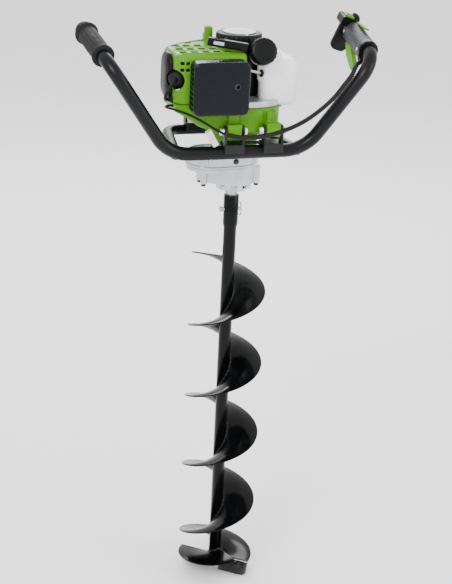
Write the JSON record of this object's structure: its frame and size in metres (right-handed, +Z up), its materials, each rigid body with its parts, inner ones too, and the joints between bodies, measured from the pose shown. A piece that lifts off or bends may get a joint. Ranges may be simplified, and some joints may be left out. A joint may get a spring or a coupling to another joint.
{
  "type": "powered auger",
  "caption": "Engine powered auger: two-handed tube frame, vertical two-stroke engine, reduction gearbox and a single helix bit with two cutting blades.",
  "frame": {"origin": "tip of the pilot point, on the axis of the bit", "axes": "+Z up along the bit axis, +X towards the throttle handle, -Y is the front with the muffler cover"},
  "size_m": [0.5589, 0.2748, 1.1441],
  "materials": {
    "handlebar": "satin",
    "rear_frame": "satin",
    "front_bracket": "satin",
    "rear_bracket": "satin",
    "front_bolt_left": "satin",
    "front_bolt_right": "satin",
    "left_grip": "matte",
    "gearbox_upper": "cast",
    "gearbox_lower": "cast",
    "output_bearing": "satin",
    "oil_seal": "matte",
    "drum_bearing": "satin",
    "fan_housing": "semi-gloss",
    "crankcase": "cast",
    "cylinder": "cast",
    "cylinder_cover": "semi-gloss",
    "cover_end_cap": "matte",
    "spark_plug": "glazed",
    "plug_boot": "matte",
    "ignition_lead": "matte",
    "muffler": "satin",
    "muffler_cover": "matte",
    "starter_housing": "matte",
    "starter_cap": "satin",
    "fuel_tank": "translucent",
    "fuel_line": "matte",
    "carburettor": "cast",
    "air_filter_cover": "matte",
    "throttle_handle": "matte",
    "cable_conduit": "matte",
    "throttle_cable": "matte",
    "wire_connector": "matte",
    "output_shaft": "satin",
    "output_gear": "satin",
    "bit_tube": "gloss",
    "flight_1": "gloss",
    "flight_2": "gloss",
    "flight_3": "gloss",
    "flight_4": "gloss",
    "second_flight": "gloss",
    "cutter_main": "gloss",
    "cutter_second": "gloss",
    "pilot_point": "gloss",
    "drive_pin": "satin",
    "pin_ring": "satin",
    "intermediate_shaft": "satin",
    "intermediate_gear": "satin",
    "clutch_drum": "satin",
    "crankshaft": "satin",
    "flywheel_fan": "cast",
    "clutch_hub": "satin",
    "starter_reel": "matte",
    "starter_handle": "matte",
    "fuel_cap": "matte",
    "throttle_lever": "satin",
    "choke_lever": "matte",
    "primer_bulb": "translucent",
    "throttle_trigger": "semi-gloss",
    "lockout_lever": "semi-gloss",
    "stop_switch": "semi-gloss"
  },
  "bodies": {
    "power_head": {"handlebar": "handlebar", "rear_frame": "rear_frame", "front_bracket": "front_bracket", "rear_bracket": "rear_bracket", "front_bolt_left": "front_bolt_left", "front_bolt_right": "front_bolt_right", "left_grip": "left_grip", "gearbox_upper": "gearbox_upper", "gearbox_lower": "gearbox_lower", "output_bearing": "output_bearing", "oil_seal": "oil_seal", "drum_bearing": "drum_bearing", "fan_housing": "fan_housing", "crankcase": "crankcase", "cylinder": "cylinder", "cylinder_cover": "cylinder_cover", "cover_end_cap": "cover_end_cap", "spark_plug": "spark_plug", "plug_boot": "plug_boot", "ignition_lead": "ignition_lead", "muffler": "muffler", "muffler_cover": "muffler_cover", "starter_housing": "starter_housing", "starter_cap": "starter_cap", "fuel_tank": "fuel_tank", "fuel_line": "fuel_line", "carburettor": "carburettor", "air_filter_cover": "air_filter_cover", "throttle_handle": "throttle_handle", "cable_conduit": "cable_conduit", "throttle_cable": "throttle_cable", "wire_connector": "wire_connector"},
    "auger": {"output_shaft": "output_shaft", "output_gear": "output_gear", "bit_tube": "bit_tube", "flight_1": "flight_1", "flight_2": "flight_2", "flight_3": "flight_3", "flight_4": "flight_4", "second_flight": "second_flight", "cutter_main": "cutter_main", "cutter_second": "cutter_second", "pilot_point": "pilot_point", "drive_pin": "drive_pin", "pin_ring": "pin_ring"},
    "lay_shaft": {"intermediate_shaft": "intermediate_shaft", "intermediate_gear": "intermediate_gear"},
    "drum": {"clutch_drum": "clutch_drum"},
    "crank": {"crankshaft": "crankshaft", "flywheel_fan": "flywheel_fan", "clutch_hub": "clutch_hub"},
    "reel": {"starter_reel": "starter_reel"},
    "pull_handle": {"starter_handle": "starter_handle"},
    "tank_cap": {"fuel_cap": "fuel_cap"},
    "carb_lever": {"throttle_lever": "throttle_lever"},
    "choke": {"choke_lever": "choke_lever"},
    "primer": {"primer_bulb": "primer_bulb"},
    "trigger": {"throttle_trigger": "throttle_trigger"},
    "lockout": {"lockout_lever": "lockout_lever"},
    "switch": {"stop_switch": "stop_switch"}
  },
  "joints": [
    {"name": "auger_spin", "type": "hinge", "parent": "power_head", "child": "auger", "pos_m": [0, 0, 0.5], "axis": [0, 0, 1], "continuous": true},
    {"name": "lay_spin", "type": "hinge", "parent": "power_head", "child": "lay_shaft", "pos_m": [-0.045, 0, 0.87], "axis": [0, 0, 1], "continuous": true},
    {"name": "drum_spin", "type": "hinge", "parent": "power_head", "child": "drum", "pos_m": [0, 0, 0.92], "axis": [0, 0, 1], "continuous": true},
    {"name": "crank_spin", "type": "hinge", "parent": "power_head", "child": "crank", "pos_m": [0, 0, 1], "axis": [0, 0, 1], "continuous": true},
    {"name": "starter_pull", "type": "slide", "parent": "power_head", "child": "pull_handle", "axis": [-0.1, -0.995, 0], "range_m": [0, 0.045], "stiffness_N_per_m": 60, "springref_m": -0.02},
    {"name": "reel_spin", "type": "hinge", "parent": "power_head", "child": "reel", "pos_m": [0, 0, 1.108], "axis": [0, 0, 1], "range_deg": [0, 90]},
    {"name": "fuel_cap_turn", "type": "hinge", "parent": "power_head", "child": "tank_cap", "pos_m": [0.022, -0.089, 1.101], "axis": [-0.0501, -0.9314, 0.3605], "range_deg": [0, 350]},
    {"name": "throttle_pull", "type": "hinge", "parent": "power_head", "child": "trigger", "pos_m": [0.22997, 0.02363, 1.08811], "axis": [-0.9413, 0.019, 0.3372], "range_deg": [0, 14], "stiffness_Nm_per_rad": 0.6, "springref_deg": -22.92},
    {"name": "carb_lever_turn", "type": "hinge", "parent": "power_head", "child": "carb_lever", "pos_m": [-0.05, 0.093, 1.0575], "axis": [0, 0, 1], "range_deg": [0, 46]},
    {"name": "lockout_press", "type": "hinge", "parent": "power_head", "child": "lockout", "pos_m": [0.2431, 0.01212, 1.12542], "axis": [0.9413, -0.019, -0.3372], "range_deg": [0, 3.5], "stiffness_Nm_per_rad": 0.3, "springref_deg": -17.19},
    {"name": "stop_switch_slide", "type": "slide", "parent": "power_head", "child": "switch", "axis": [0.0799, 0.9826, 0.1678], "range_m": [0, 0.006]},
    {"name": "choke_turn", "type": "hinge", "parent": "power_head", "child": "choke", "pos_m": [-0.074, 0.1024, 1.052], "axis": [0, 1, 0], "range_deg": [0, 75]},
    {"name": "primer_press", "type": "slide", "parent": "power_head", "child": "primer", "axis": [0, 0, 1], "range_m": [0, 0.004], "stiffness_N_per_m": 300, "springref_m": -0.002}
  ],
  "couplings": [
    {"joint": "lay_spin", "follows": "auger_spin", "ratio": -4},
    {"joint": "drum_spin", "follows": "auger_spin", "ratio": 20},
    {"joint": "reel_spin", "follows": "starter_pull", "rad_per_m": 34.014},
    {"joint": "carb_lever_turn", "follows": "throttle_pull", "ratio": 3.2}
  ]
}
